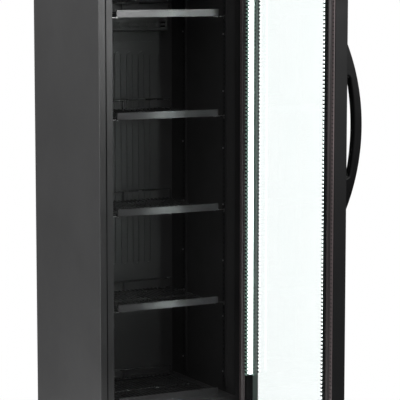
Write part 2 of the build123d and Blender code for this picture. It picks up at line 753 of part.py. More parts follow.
def handle_stile():
    """The stile on the handle side: hollow at its foot, where the lock's cam turns."""
    stile = door_block(DOOR_INNER, DOOR_OUTER, DOOR_FREE_EDGE, REVEAL_HANDLE)
    stile = fillet(stile.edges().filter_by(Axis.Z).group_by(Axis.Y)[0], DOOR_CORNER)
    stile -= glass_block(GLASS_INNER, GLASS_OUTER, GLASS_BITE)
    low = DOOR_BOTTOM + 3
    stile -= block(
        DOOR_INNER + 4, DOOR_INNER + 22, DOOR_FREE_EDGE + 3, REVEAL_HANDLE - 6, low, LOCK_Z + 16
    )
    stile -= block(CAM_X - 1, CAM_X + 4, LOCK_Y - 6, REVEAL_HANDLE - 6, DOOR_BOTTOM - 1, low + 1)
    stile -= bar(LOCK_RADIUS, (DOOR_INNER + 10, LOCK_Y, LOCK_Z), (DOOR_OUTER + 1, LOCK_Y, LOCK_Z))
    return stile


def door_rail_low():
    high = DOOR_BOTTOM + DOOR_RAIL
    rail = door_block(DOOR_INNER, DOOR_OUTER, REVEAL_HANDLE, REVEAL_HINGE, DOOR_BOTTOM, high)
    return rail - glass_block(GLASS_INNER, GLASS_OUTER, GLASS_BITE)


def door_rail_top():
    low = DOOR_TOP - DOOR_RAIL
    rail = door_block(DOOR_INNER, DOOR_OUTER, REVEAL_HANDLE, REVEAL_HINGE, low, DOOR_TOP)
    return rail - glass_block(GLASS_INNER, GLASS_OUTER, GLASS_BITE)


def glass_inner():
    return glass_block(GLASS_INNER, GLASS_INNER + PANE, GLASS_BITE)


def glass_outer():
    return glass_block(GLASS_OUTER - PANE, GLASS_OUTER, GLASS_BITE)


def glass_spacer():
    x0, x1 = GLASS_INNER + PANE, GLASS_OUTER - PANE
    return glass_block(x0, x1, GLASS_BITE - 2) - glass_block(x0 - 1, x1 + 1, -SPACER_SHOWS)


GASKET_INSET = 17.0
GASKET_WIDTH = 18.0
GASKET_RISE = DOOR_GAP - 0.5


def gasket_ring(inset, width, x0, x1):
    y0, y1 = DOOR_FREE_EDGE + inset, DOOR_HINGE_EDGE - inset
    z0, z1 = DOOR_BOTTOM + inset, DOOR_TOP - inset
    hole = block(x0 - 1, x1 + 1, y0 + width, y1 - width, z0 + width, z1 - width)
    return block(x0, x1, y0, y1, z0, z1) - hole


def door_gasket():
    """A magnetic seal: a flat base in the door's face and a narrower soft bead."""
    base = gasket_ring(GASKET_INSET, GASKET_WIDTH, DOOR_INNER - 3, DOOR_INNER)
    neck = gasket_ring(GASKET_INSET + 6, 6, DOOR_INNER - 6, DOOR_INNER - 3)
    bead = gasket_ring(GASKET_INSET + 2, 14, DOOR_INNER - GASKET_RISE, DOOR_INNER - 6)
    return joined([base, neck, bead])


LED_WIDTH = 22.0
LED_DEPTH = 9.0
LENS_DEPTH = 4.0


def led_housing(side):
    """A slim channel in the reveal: side 1 is the hinge's side, -1 the handle's."""
    wall = REVEAL_HINGE if side > 0 else REVEAL_HANDLE
    x0 = DOOR_INNER + 1.5
    x1 = x0 + LED_WIDTH
    channel = block(x0, x1, wall - side * LED_DEPTH, wall, LED_BOTTOM, LED_TOP)
    far = wall - side * (LED_DEPTH + 1)
    near = wall - side * (LED_DEPTH - LENS_DEPTH)
    return channel - block(x0 + 1.5, x1 - 1.5, far, near, LED_BOTTOM + 2, LED_TOP - 2)


def led_lens(side):
    wall = REVEAL_HINGE if side > 0 else REVEAL_HANDLE
    x0 = DOOR_INNER + 3.0
    x1 = x0 + LED_WIDTH - 3.0
    far = wall - side * LED_DEPTH
    near = wall - side * (LED_DEPTH - LENS_DEPTH)
    return block(x0, x1, far, near, LED_BOTTOM + 2, LED_TOP - 2)


def door_handle():
    """A bow with a tapering foot at each end and a finger gap in its middle."""
    middle_z = (HANDLE_BOTTOM + HANDLE_TOP) / 2
    x = DOOR_OUTER
    low, high = (x, HANDLE_BOTTOM), (x, HANDLE_TOP)
    outer = ThreePointArc(low, (x + HANDLE_REACH, middle_z), high)
    outline = make_face([outer, Line(high, low)])
    gap_low, gap_high = HANDLE_BOTTOM + HANDLE_FOOT, HANDLE_TOP - HANDLE_FOOT
    near, far = x - 1, x + HANDLE_GAP_AT_ENDS
    inner = ThreePointArc((far, gap_low), (x + HANDLE_FINGER_GAP, middle_z), (far, gap_high))
    sides = [
        Line((far, gap_high), (near, gap_high)),
        Line((near, gap_high), (near, gap_low)),
        Line((near, gap_low), (far, gap_low)),
    ]
    gap = make_face([inner, *sides])
    gap = fillet(gap.vertices().group_by(Axis.X)[-1], HANDLE_GAP_CORNER)
    y = DOOR_FREE_EDGE + HANDLE_FROM_EDGE
    plane = Plane(origin=(0, y, 0), x_dir=(1, 0, 0), z_dir=(0, -1, 0))
    bow = extrude(plane * (outline - gap), HANDLE_SECTION / 2, both=True)
    curved = [e for e in bow.edges() if e.geom_type == GeomType.CIRCLE]
    long_edges = [e for e in curved if e.length > HANDLE_FOOT]
    return fillet(long_edges, HANDLE_EDGE)


def hinge_bushes():
    bore = PIN_RADIUS + RUNNING_CLEARANCE
    bushes = []
    for z in BUSH_PLACES:
        bush = Pos(PIVOT_X, PIVOT_Y, z) * Cylinder(BUSH_RADIUS, BUSH_LENGTH, align=UP)
        bushes.append(bush - Pos(PIVOT_X, PIVOT_Y, z - 1) * Cylinder(bore, BUSH_LENGTH + 2, align=UP))
    return group(bushes)


BRACKET_GAP = 2.0
BRACKET_THICKNESS = 4.0
BRACKET_X0 = HALF - 62
PIN_REACH = BUSH_LENGTH - 2


def hinge_bracket(side):
    """A cabinet bracket with its pin: side 1 is above the door, -1 is below it."""
    edge = DOOR_TOP if side > 0 else DOOR_BOTTOM
    near = edge + side * BRACKET_GAP
    far = near + side * BRACKET_THICKNESS
    x1 = HALF - SHEET
    plate = block(BRACKET_X0, x1, PIVOT_Y - 16, FRONT, near, far)
    front_corners = plate.edges().filter_by(Axis.Z).group_by(Axis.Y)[0]
    plate = fillet(front_corners, 12)
    leg_end = edge - side * 14
    leg = block(BRACKET_X0, x1, FRONT - BRACKET_THICKNESS, FRONT, far, leg_end)
    pin = bar(PIN_RADIUS, (PIVOT_X, PIVOT_Y, near), (PIVOT_X, PIVOT_Y, edge - side * PIN_REACH))
    return joined([plate, leg, pin])


def case_screws():
    """The screws of the two hinge brackets and of the lower grille."""
    heads = []
    for side, edge in ((1, DOOR_TOP), (-1, DOOR_BOTTOM)):
        for x in (BRACKET_X0 + 14, HALF - 16):
            heads.append(cap_screw(x, FRONT - BRACKET_THICKNESS, edge - side * 6))
    for x in (-HALF + 16, HALF - 16):
        for z in (GRILLE_LOW + 14, GRILLE_HIGH - 14):
            heads.append(cap_screw(x, FRONT - GRILLE_DEPTH, z))
    return group(heads)


def lock_barrel():
    x0, x1 = DOOR_INNER + 24, DOOR_OUTER
    flange_end = x1 + 2
    barrel = bar(LOCK_RADIUS, (x0, LOCK_Y, LOCK_Z), (x1, LOCK_Y, LOCK_Z))
    flange = bar(LOCK_RADIUS + 3, (x1, LOCK_Y, LOCK_Z), (flange_end, LOCK_Y, LOCK_Z))
    bore = bar(PLUG_RADIUS + RUNNING_CLEARANCE, (x0 - 1, LOCK_Y, LOCK_Z), (x1 + 5, LOCK_Y, LOCK_Z))
    return joined([barrel, flange]) - bore


def lock_plug():
    """The keyed plug with the cam that turns down into the keeper."""
    plug = bar(PLUG_RADIUS, (CAM_X, LOCK_Y, LOCK_Z), (DOOR_OUTER + 2.6, LOCK_Y, LOCK_Z))
    end = DOOR_OUTER + 2.6
    keyway = block(end - 8, end + 1, LOCK_Y - 3.6, LOCK_Y + 3.6, LOCK_Z - 0.7, LOCK_Z + 0.7)
    cam = block(CAM_X, CAM_X + 3, LOCK_Y - 5, LOCK_Y + CAM_LENGTH, LOCK_Z - 4.5, LOCK_Z + 4.5)
    return joined([plug, cam]) - keyway


def lock_keeper():
    """A slotted plate under the closed door that takes the lock's cam."""
    from_edge = LOCK_Y - DOOR_FREE_EDGE
    x = -HALF + from_edge
    y = FRONT - DOOR_GAP - (CAM_X + 1.5 - DOOR_INNER)
    low, high = FLANGE_BOTTOM + 0.5, FLANGE_BOTTOM + 3
    plate = block(x - 17, x + 25, y - 12, FRONT, low, high)
    leg = block(x - 17, x + 25, FRONT - 2.5, FRONT, low, high + 16)
    slot = block(x - 8, x + 8, y - 4.5, y + 4.5, low - 5, high + 5)
    return joined([plate, leg]) - slot


def main():
    os.makedirs("parts", exist_ok=True)
    save("side_panel_left", side_panel_left())
    save("side_panel_right", mirrored(side_panel_left()))
    save("back_panel", back_panel())
    save("top_panel", top_panel())
    save("front_flange", front_flange())
    save("inner_liner", inner_liner())
    save("foam_insulation", foam_insulation())
    save("bottom_plate", bottom_plate())
    save("drain_pipe", drain_pipe())
    save("base_pan", base_pan())
    names = ("foot_front_left", "foot_rear_left", "foot_front_right", "foot_rear_right")
    for name, (x, y) in zip(names, FOOT_PLACES):
        save(name, levelling_foot(x, y))
    save("lower_grille", lower_grille())
    save("compressor", compressor())
    save("compressor_mounts", compressor_mounts())
    save("condenser_coil", condenser_coil())
    save("condenser_fan_shroud", fan_shroud())
    shroud_back = COIL_Y1 + SHROUD_DEPTH
    save("condenser_fan_motor", motor(COIL_MIDDLE, shroud_back + 10, FAN_Z, 24, 50, 30))
    blades = fan_blades(COIL_MIDDLE, shroud_back - 13, FAN_Z, 70, 5, 16, 24)
    save("condenser_fan_blades", blades)
    save("evaporation_tray", evaporation_tray())
    save("refrigerant_pipes", refrigerant_pipes())
    save("cord_inlet", cord_inlet())
    save("evaporator_plate", evaporator_plate())
    save("evaporator_fan_cover", evaporator_fan_cover())
    save("evaporator_fan_motor", evaporator_fan_motor())
    save("evaporator_fan_blades", fan_blades(0, AIR_FAN_Y, AIR_FAN_Z, 58, 5, 14, 24))
    save("control_box", control_box())
    save("thermostat_dial", thermostat_dial())
    save("light_switch_rocker", light_switch_rocker())
    save("pilasters", pilasters())
    save("pilaster_screws", pilaster_screws())
    save("shelf_clips", shelf_clips())
    shelf = wire_shelf()
    save("floor_rack", Pos(0, 0, rack_top(0) - SHELF_DROP) * shelf)
    for level in range(1, 5):
        save("wire_shelf_" + str(level), Pos(0, 0, rack_top(level) - SHELF_DROP) * shelf)
    save("shelf_rails", shelf_rails())
    save("top_hinge_bracket", hinge_bracket(1))
    save("bottom_hinge_bracket", hinge_bracket(-1))
    save("case_screws", case_screws())
    save("lock_keeper", lock_keeper())
    save_door("door_stile_hinge_side", hinge_stile())
    save_door("door_stile_handle_side", handle_stile())
    save_door("door_rail_bottom", door_rail_low())
    save_door("door_rail_top", door_rail_top())
    save_door("glass_pane_inner", glass_inner())
    save_door("glass_pane_outer", glass_outer())
    save_door("glass_spacer", glass_spacer())
    save_door("door_gasket", door_gasket())
    save_door("led_bar_hinge_side", led_housing(1))
    save_door("led_bar_handle_side", led_housing(-1))
    save_door("led_lens_hinge_side", led_lens(1))
    save_door("led_lens_handle_side", led_lens(-1))
    save_door("door_handle", door_handle())
    save_door("hinge_bushes", hinge_bushes())
    save_door("door_lock_barrel", lock_barrel())
    save_door("door_lock_plug", lock_plug())


main()
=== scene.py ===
import json
import math

import bmesh
import bpy
from mathutils import Matrix, Vector


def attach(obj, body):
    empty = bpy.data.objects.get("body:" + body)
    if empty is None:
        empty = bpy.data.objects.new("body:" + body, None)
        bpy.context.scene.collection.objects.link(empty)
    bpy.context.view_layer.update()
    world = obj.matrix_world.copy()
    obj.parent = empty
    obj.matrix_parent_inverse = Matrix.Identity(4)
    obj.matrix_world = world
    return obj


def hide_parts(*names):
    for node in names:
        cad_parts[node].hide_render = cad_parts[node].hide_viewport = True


# A glass door merchandiser. Metres, the CAD frame: +Z up, the cabinet's front faces -Y.
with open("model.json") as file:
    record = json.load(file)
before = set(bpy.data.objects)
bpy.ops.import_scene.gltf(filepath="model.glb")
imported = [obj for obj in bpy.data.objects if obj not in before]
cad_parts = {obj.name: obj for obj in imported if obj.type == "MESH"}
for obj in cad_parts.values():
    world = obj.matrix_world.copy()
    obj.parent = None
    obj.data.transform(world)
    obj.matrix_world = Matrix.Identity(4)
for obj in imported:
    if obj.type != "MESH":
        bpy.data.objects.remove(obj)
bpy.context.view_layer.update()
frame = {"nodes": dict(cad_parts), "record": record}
NODES = frame["nodes"]

# ---------------------------------------------------------------- camera
CAMERA_PLACE = (-3.0941, -6.2698, 1.8307)
CAMERA_YAW = math.radians(28.087)
CAMERA_PITCH = math.radians(6.892)
CAMERA_LENS = 170.96
SENSOR_WIDTH = 36.0
CLIP_NEAR, CLIP_FAR = 0.1, 100.0

camera_data = bpy.data.cameras.new("camera")
camera = bpy.data.objects.new("camera", camera_data)
bpy.context.scene.collection.objects.link(camera)
aim = Vector((
    math.sin(CAMERA_YAW) * math.cos(CAMERA_PITCH),
    math.cos(CAMERA_YAW) * math.cos(CAMERA_PITCH),
    -math.sin(CAMERA_PITCH),
))
camera.location = CAMERA_PLACE
camera.rotation_euler = aim.to_track_quat("-Z", "Y").to_euler()
camera_data.lens = CAMERA_LENS
camera_data.sensor_width = SENSOR_WIDTH
camera_data.clip_start = CLIP_NEAR
camera_data.clip_end = CLIP_FAR
bpy.context.scene.camera = camera
bpy.context.scene.view_settings.view_transform = "Standard"


# ---------------------------------------------------------------- materials
# A colour Mix node's two inputs and its output share their names with others, so they are taken by number.
MIX_A, MIX_B, MIX_RESULT = 6, 7, 2
WHITE = (1.0, 1.0, 1.0, 1.0)


class Material:
    """A node material with short calls for its parts."""

    def __init__(self, name):
        self.material = bpy.data.materials.new(name)
        self.material.use_nodes = True
        self.nodes = self.material.node_tree.nodes
        self.links = self.material.node_tree.links
        self.shader = self.nodes["Principled BSDF"]
        self.place = self.nodes.new("ShaderNodeTexCoord").outputs["Object"]

    def set(self, **values):
        """Constants on the shader's own sockets: Base_Color is its Base Color."""
        for key, value in values.items():
            self.shader.inputs[key.replace("_", " ")].default_value = value

    def link(self, output, socket):
        self.links.new(output, socket)

    def stretched(self, scale):
        node = self.nodes.new("ShaderNodeMapping")
        node.inputs["Scale"].default_value = scale
        self.link(self.place, node.inputs["Vector"])
        return node.outputs["Vector"]

    def noise(self, scale, detail=2.0, where=None):
        node = self.nodes.new("ShaderNodeTexNoise")
        node.inputs["Scale"].default_value = scale
        node.inputs["Detail"].default_value = detail
        self.link(where or self.place, node.inputs["Vector"])
        return node.outputs["Fac"]

    def ramp(self, factor, *stops):
        """Colours blended along a factor, each stop given as (position, colour)."""
        node = self.nodes.new("ShaderNodeValToRGB")
        self.link(factor, node.inputs["Fac"])
        elements = node.color_ramp.elements
        while len(elements) < len(stops):
            elements.new(0.5)
        for element, (where, colour) in zip(elements, stops):
            element.position = where
            element.color = (*colour, 1.0)
        return node.outputs["Color"]

    def spread(self, factor, low, high, start=0.3, end=0.7):
        """A factor's range from start to end turned into the range from low to high."""
        node = self.nodes.new("ShaderNodeMapRange")
        node.inputs["From Min"].default_value = start
        node.inputs["From Max"].default_value = end
        node.inputs["To Min"].default_value = low
        node.inputs["To Max"].default_value = high
        self.link(factor, node.inputs["Value"])
        return node.outputs["Result"]

    def bump(self, height, distance, strength=1.0, after=None):
        node = self.nodes.new("ShaderNodeBump")
        node.inputs["Distance"].default_value = distance
        node.inputs["Strength"].default_value = strength
        self.link(height, node.inputs["Height"])
        if after is not None:
            self.link(after, node.inputs["Normal"])
        return node.outputs["Normal"]

    def colour(self, output):
        self.link(output, self.shader.inputs["Base Color"])

    def roughness(self, output):
        self.link(output, self.shader.inputs["Roughness"])

    def normal(self, output):
        self.link(output, self.shader.inputs["Normal"])


def scaled(colour, factor):
    return tuple(min(1.0, c * factor) for c in colour)


def coated(name, colour, rough, grain=900.0, depth=0.00004, vary=0.14, metallic=0.0, gloss=0.5, painted_glints=0.0):
    """Painted, powder-coated or moulded: fine texture, slow colour drift and uneven gloss."""
    drift_scale, speck_scale, patch_scale = 3.0, 260.0, 9.0
    speck_from, speck_to = 0.66, 0.74
    smoother, rougher = 0.04, 0.05
    wave_length, wave_depth = 14, 2.5
    made = Material(name)
    slow = made.noise(drift_scale, 3.0)
    base = made.ramp(slow, (0.35, scaled(colour, 1 - vary)), (0.65, scaled(colour, 1 + vary)))
    # Painted glints: bright specks added to the colour, standing in for the sparkle of a textured coat's
    # highlight.
    if painted_glints:
        specks = made.noise(speck_scale, 2.0)
        mask = made.ramp(specks, (speck_from, (0, 0, 0)), (speck_to, (painted_glints, painted_glints, painted_glints)))
        mix = made.nodes.new("ShaderNodeMix")
        mix.data_type = "RGBA"
        mix.blend_type = "ADD"
        mix.inputs["Factor"].default_value = 1.0
        made.link(base, mix.inputs[MIX_A])
        made.link(mask, mix.inputs[MIX_B])
        base = mix.outputs[MIX_RESULT]
    made.colour(base)
    patch = made.noise(patch_scale, 4.0)
    made.roughness(made.spread(patch, rough - smoother, rough + rougher))
    made.set(Metallic=metallic, Specular_IOR_Level=gloss)
    fine = made.bump(made.noise(grain, 2.0), depth)
    wave = made.bump(made.noise(grain / wave_length, 1.0), depth * wave_depth, after=fine)
    made.normal(wave)
    return made.material


def painted_spill_glow(material, colour, strength):
    """Painted light: a faint glow given to a rubber or enamel beside the light bars, standing in for their spill.
    """
    shader = material.node_tree.nodes["Principled BSDF"]
    shader.inputs["Emission Color"].default_value = (*colour, 1.0)
    shader.inputs["Emission Strength"].default_value = strength
    return material


def brushed(name, colour, rough, along, depth=0.00003):
    """Metal with lines drawn along one direction, or an even grain where along is the same on all axes."""
    line_scale = 60.0
    darker, lighter = 0.82, 1.1
    smoother, rougher = 0.06, 0.08
    made = Material(name)
    lines = made.noise(line_scale, 4.0, made.stretched(along))
    made.colour(made.ramp(lines, (0.3, scaled(colour, darker)), (0.7, scaled(colour, lighter))))
    made.roughness(made.spread(lines, rough - smoother, rough + rougher))
    made.set(Metallic=1.0)
    made.normal(made.bump(lines, depth))
    return made.material


def spangled(name, colour):
    """Hot-dip zinc with its flat crystals."""
    crystal_scale, grain = 70.0, 400.0
    darker, lighter = 0.75, 1.15
    made = Material(name)
    cells = made.nodes.new("ShaderNodeTexVoronoi")
    cells.inputs["Scale"].default_value = crystal_scale
    made.link(made.place, cells.inputs["Vector"])
    grey = made.nodes.new("ShaderNodeRGBToBW")
    made.link(cells.outputs["Color"], grey.inputs["Color"])
    shade = grey.outputs["Val"]
    made.colour(made.ramp(shade, (0.2, scaled(colour, darker)), (0.8, scaled(colour, lighter))))
    made.roughness(made.spread(shade, 0.3, 0.5))
    made.set(Metallic=0.9)
    made.normal(made.bump(made.noise(grain), 0.00002))
    return made.material


def clear_glass(name):
    """Slightly green float glass with faint smears."""
    smear_scale, roughest = 6.0, 0.012
    made = Material(name)
    smear = made.noise(smear_scale, 4.0)
    made.colour(made.ramp(smear, (0.3, (0.972, 0.998, 0.993)), (0.7, (0.978, 1.0, 0.996))))
    made.set(Transmission_Weight=1.0, IOR=1.5)
    made.roughness(made.spread(smear, 0.0, roughest))
    return made.material


def lit_lens(name, colour, strength, pitch):
    """An opal lens with a brighter spot over each diode."""
    dimmer, brighter = 0.8, 1.2
    made = Material(name)
    split = made.nodes.new("ShaderNodeSeparateXYZ")
    made.link(made.place, split.inputs["Vector"])
    turn = made.nodes.new("ShaderNodeMath")
    turn.operation = "MULTIPLY"
    turn.inputs[1].default_value = 2 * math.pi / pitch
    made.link(split.outputs["Z"], turn.inputs[0])
    wave = made.nodes.new("ShaderNodeMath")
    wave.operation = "COSINE"
    made.link(turn.outputs[0], wave.inputs[0])
    glow = made.spread(wave.outputs[0], strength * dimmer, strength * brighter, -1.0, 1.0)
    made.link(glow, made.shader.inputs["Emission Strength"])
    made.set(Emission_Color=(*colour, 1.0), Base_Color=(0.9, 0.9, 0.9, 1.0), Roughness=0.35)
    made.normal(made.bump(made.noise(500.0), 0.00003))
    return made.material


LED_PITCH = 0.0135
LED_WHITE = (0.90, 1.0, 0.97)
EVEN_GRAIN = (1.0, 1.0, 1.0)
ALONG_Y = (1.0, 14.0, 1.0)
ALONG_Z = (1.0, 1.0, 14.0)

# Colour, roughness, then the grain's frequency and its depth in metres.
MATERIALS = {
    "shell_black": coated("shell_paint", (0.082, 0.082, 0.083), 0.45, 700.0, 0.00005, vary=0.07),
    "flange_black": coated("flange_paint", (0.011, 0.011, 0.0113), 0.34, 800.0, 0.00004, vary=0.1),
    "liner_black": coated("liner_paint", (0.0190, 0.0190, 0.0193), 0.42, 800.0, 0.00004),
    "foam": coated("foam_block", (0.72, 0.60, 0.36), 0.85, 300.0, 0.0004),
    "galvanised": spangled("galvanised_steel", (0.55, 0.56, 0.58)),
    "foot_black": coated("foot_nylon", (0.016, 0.016, 0.017), 0.5, 500.0, 0.00006),
    "grille_black": coated("grille_plastic", (0.016, 0.016, 0.017), 0.48, 600.0, 0.00008),
    "screw_steel": brushed("screw_steel", (0.50, 0.50, 0.51), 0.32, EVEN_GRAIN),
    "compressor_black": coated("compressor_enamel", (0.012, 0.012, 0.013), 0.28, 250.0, 0.00008),
    "rubber_black": coated("mount_rubber", (0.02, 0.02, 0.02), 0.75, 500.0, 0.00008),
    "coil_aluminium": brushed("coil_aluminium", (0.62, 0.63, 0.65), 0.34, ALONG_Z),
    "fan_black": coated("fan_plastic", (0.014, 0.014, 0.015), 0.40, 600.0, 0.00005),
    "motor_grey": coated("motor_enamel", (0.11, 0.11, 0.115), 0.45, 400.0, 0.00006),
    "copper": brushed("copper_pipe", (0.78, 0.38, 0.22), 0.30, EVEN_GRAIN),
    "tray_grey": coated("tray_plastic", (0.09, 0.09, 0.095), 0.5, 400.0, 0.00008),
    "plate_black": coated("plate_paint", (0.022, 0.022, 0.0222), 0.38, 700.0, 0.00004),
    "cover_black": coated("cover_plastic", (0.018, 0.018, 0.0183), 0.42, 600.0, 0.00006),
    "dial_grey": coated("dial_plastic", (0.16, 0.16, 0.165), 0.4, 600.0, 0.00004),
    "switch_black": coated("switch_plastic", (0.012, 0.012, 0.012), 0.25, 600.0, 0.00003),
    "pilaster_black": coated("pilaster_paint", (0.009, 0.009, 0.0095), 0.40, 800.0, 0.00004),
    "clip_steel": brushed("clip_steel", (0.30, 0.30, 0.30), 0.28, ALONG_Y),
    "wire_black": coated("wire_coating", (0.014, 0.014, 0.0145), 0.26, 900.0, 0.00003),
    # The rails' bright specks in their colour are painted glints.
    "rail_grey": coated(
        "rail_coating", (0.042, 0.042, 0.043), 0.17, 420.0, 0.00014, vary=0.10, metallic=0.3, painted_glints=0.02),
    "bracket_black": coated("bracket_paint", (0.018, 0.018, 0.0185), 0.38, 700.0, 0.00004),
    "door_black": coated("door_profile", (0.0055, 0.0055, 0.0058), 0.50, 800.0, 0.00004, vary=0.12, gloss=0.17),
    "glass": clear_glass("door_glass"),
    "spacer_black": coated("spacer_bar", (0.060, 0.064, 0.063), 0.40, 900.0, 0.00003),
    "gasket_black": coated("gasket_rubber", (0.034, 0.027, 0.028), 0.50, 700.0, 0.00006),
    "led_channel": brushed("led_channel", (0.62, 0.64, 0.64), 0.35, ALONG_Z),
    "led_lens": lit_lens("led_lens", LED_WHITE, 2.6, LED_PITCH),
    "handle_black": coated("handle_plastic", (0.004, 0.004, 0.0042), 0.30, 800.0, 0.00003, vary=0.12, gloss=0.10),
    "bush_nylon": coated("bush_nylon", (0.55, 0.54, 0.50), 0.5, 500.0, 0.00004),
    "lock_chrome": brushed("lock_chrome", (0.80, 0.80, 0.81), 0.16, EVEN_GRAIN),
}

# The lens that faces away from the camera lights the cabinet's inside and shows in the shelf rails.
FACING_LENS = lit_lens("led_lens_handle_side", LED_WHITE, 26.0, LED_PITCH)

for part in frame["record"]["subparts"]:
    node = NODES[part["node"]]
    if not node.material_slots:
        node.data.materials.append(None)
    for place in node.material_slots:
        place.material = MATERIALS[part["material_slot"]]
NODES["led_lens_handle_side"].material_slots[0].material = FACING_LENS


# ---------------------------------------------------------------- door geometry
# The door's own pieces are drawn with the door open at a right angle, then turned with it to its rest place.
PIVOT = Vector((0.2815, -0.326, 0.0))
REST_TURN = math.radians(2.5)
DOOR_TURN = (
    Matrix.Translation(PIVOT) @ Matrix.Rotation(REST_TURN, 4, "Z") @ Matrix.Translation(-PIVOT)
)
DOOR_INNER = 0.2515
DOOR_HINGE_EDGE = -0.310
DOOR_FREE_EDGE = -0.905
DOOR_LOW, DOOR_HIGH = 0.195, 1.978
REVEAL_HINGE, REVEAL_HANDLE = -0.360, -0.845
LED_LOW, LED_HIGH = 0.370, 1.803
LED_FRONT = 0.2531
GLASS_LOW = 0.263
GLASS_FACE = 0.2763
ROW_MARGIN = 0.004
ROW_LOW, ROW_HIGH = LED_LOW - ROW_MARGIN, LED_HIGH + ROW_MARGIN


def add(name, mesh_maker, material, body, smooth=True, turn=None):
    """A piece from a function that fills a bmesh."""
    made = bmesh.new()
    mesh_maker(made)
    bmesh.ops.recalc_face_normals(made, faces=made.faces)
    mesh = bpy.data.meshes.new(name)
    made.to_mesh(mesh)
    made.free()
    if turn is not None:
        mesh.transform(turn)
    for face in mesh.polygons:
        face.use_smooth = smooth
    mesh.materials.append(material)
    piece = bpy.data.objects.new(name, mesh)
    bpy.context.scene.collection.objects.link(piece)
    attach(piece, body)
    return piece


def join_loops(made, loops):
    """Faces between each loop of four points and the next, and from the last back to the first."""
    for i, near in enumerate(loops):
        far = loops[(i + 1) % len(loops)]
        for k in range(4):
            n = (k + 1) % 4
            made.faces.new((near[k], near[n], far[n], far[k]))


def ring_sweep(profile):
    """A closed profile of (inset, rise) swept round the door's inner face with mitred corners."""
    def fill(made):
        loops = []
        for inset, rise in profile:
            y0, y1 = DOOR_FREE_EDGE + inset, DOOR_HINGE_EDGE - inset
            z0, z1 = DOOR_LOW + inset, DOOR_HIGH - inset
            x = DOOR_INNER - rise
            corners = [(x, y0, z0), (x, y1, z0), (x, y1, z1), (x, y0, z1)]
            loops.append([made.verts.new(c) for c in corners])
        join_loops(made, loops)
    return fill


GASKET = [
    (0.0170, 0.0000), (0.0170, 0.0020), (0.0186, 0.0026), (0.0190, 0.0088), (0.0200, 0.0106),
    (0.0220, 0.0114), (0.0250, 0.0114), (0.0268, 0.0104), (0.0276, 0.0086), (0.0280, 0.0040),
    (0.0298, 0.0032), (0.0306, 0.0058), (0.0322, 0.0064), (0.0338, 0.0056), (0.0350, 0.0024),
    (0.0350, 0.0000),
]
gasket = add("door_gasket_profile", ring_sweep(GASKET), MATERIALS["gasket_black"], "door",
             True, DOOR_TURN)
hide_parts("door_gasket")
GASKET_BASE = [
    (0.0015, 0.0000), (0.0015, 0.0020), (0.0035, 0.0028), (0.0145, 0.0028), (0.0160, 0.0020),
    (0.0160, 0.0000),
]
BASE_BROWN = coated("gasket_base_rubber", (0.100, 0.078, 0.080), 0.50, 700.0, 0.00006)
add("door_gasket_base", ring_sweep(GASKET_BASE), BASE_BROWN, "door", True, DOOR_TURN)

# Painted shade: a near-black strip in the flange's groove stands in for the shade that falls there.
GROOVE_STRIP_HALF = 0.2725
GROOVE_STRIP_LOW, GROOVE_STRIP_HIGH = 0.211, 1.965
GROOVE_STRIP_WIDTH = 0.0042
GROOVE_STRIP_ROOT, GROOVE_STRIP_FACE = -0.2828, -0.2842


def groove_shade_strip(made):
    """A near-black strip laid in the groove round the cabinet's face: painted shade that darkens the groove."""
    outer = [
        (-GROOVE_STRIP_HALF, GROOVE_STRIP_LOW), (GROOVE_STRIP_HALF, GROOVE_STRIP_LOW), (GROOVE_STRIP_HALF, GROOVE_STRIP_HIGH), (-GROOVE_STRIP_HALF, GROOVE_STRIP_HIGH),
    ]
    inner = [
        (x - math.copysign(GROOVE_STRIP_WIDTH, x), z + (GROOVE_STRIP_WIDTH if z == GROOVE_STRIP_LOW else -GROOVE_STRIP_WIDTH))
        for x, z in outer
    ]
    loops = []
    for points, y in ((outer, GROOVE_STRIP_ROOT), (outer, GROOVE_STRIP_FACE), (inner, GROOVE_STRIP_FACE), (inner, GROOVE_STRIP_ROOT)):
        loops.append([made.verts.new((x, y, z)) for x, z in points])
    join_loops(made, loops)


GROOVE_PAINTED_SHADE = coated("groove_painted_shade", (0.003, 0.003, 0.003), 0.8, 700.0, 0.00003, vary=0.1, gloss=0.05)
add("flange_groove_painted_shade", groove_shade_strip, GROOVE_PAINTED_SHADE, "cabinet", False)


# ---------------------------------------------------------------- rows of small details at the diodes' pitch
def pitch_rows(low, high):
    """Heights at the diodes' pitch, centred between low and high."""
    count = int((high - low) / LED_PITCH)
    first = (low + high - LED_PITCH * (count - 1)) / 2
    return [first + LED_PITCH * i for i in range(count)]


def box_between(made, low, high):
    """A box from its lowest to its highest corner."""
    corners = [
        made.verts.new((x, y, z)) for z in (low[2], high[2]) for x, y in (
            (low[0], low[1]), (high[0], low[1]), (high[0], high[1]), (low[0], high[1]))
    ]
    for face in ((0, 3, 2, 1), (4, 5, 6, 7), (0, 1, 5, 4), (1, 2, 6, 5), (2, 3, 7, 6), (3, 0, 4, 7)):
        made.faces.new([corners[i] for i in face])


def domes(heights, centre, normal, half_across, half_up, rise, rings, sides=12):
    """Low oval studs in a column: centre is (x, y), normal is "x" for studs that face -X or "y" for -Y."""
    def fill(made):
        for z in heights:
            loops = []
            for ring in range(rings + 1):
                angle = math.pi / 2 * ring / rings
                across, out = math.cos(angle), math.sin(angle) * rise
                loop = []
                for side in range(sides if ring < rings else 1):
                    turn = 2 * math.pi * side / sides
                    a = math.cos(turn) * half_across * across
                    b = math.sin(turn) * half_up * across
                    if normal == "x":
                        loop.append(made.verts.new((centre[0] - out, centre[1] + a, z + b)))
                    else:
                        loop.append(made.verts.new((centre[0] + a, centre[1] - out, z + b)))
                loops.append(loop)
            for near, far in zip(loops, loops[1:]):
                for k in range(sides):
                    n = (k + 1) % sides
                    if len(far) == 1:
                        made.faces.new((near[k], near[n], far[0]))
                    else:
                        made.faces.new((near[k], near[n], far[n], far[k]))
            made.faces.new(loops[0])
    return fill


LED_ROWS = pitch_rows(LED_LOW, LED_HIGH)
HALF_STEP = [z + LED_PITCH / 2 for z in LED_ROWS[:-1]]
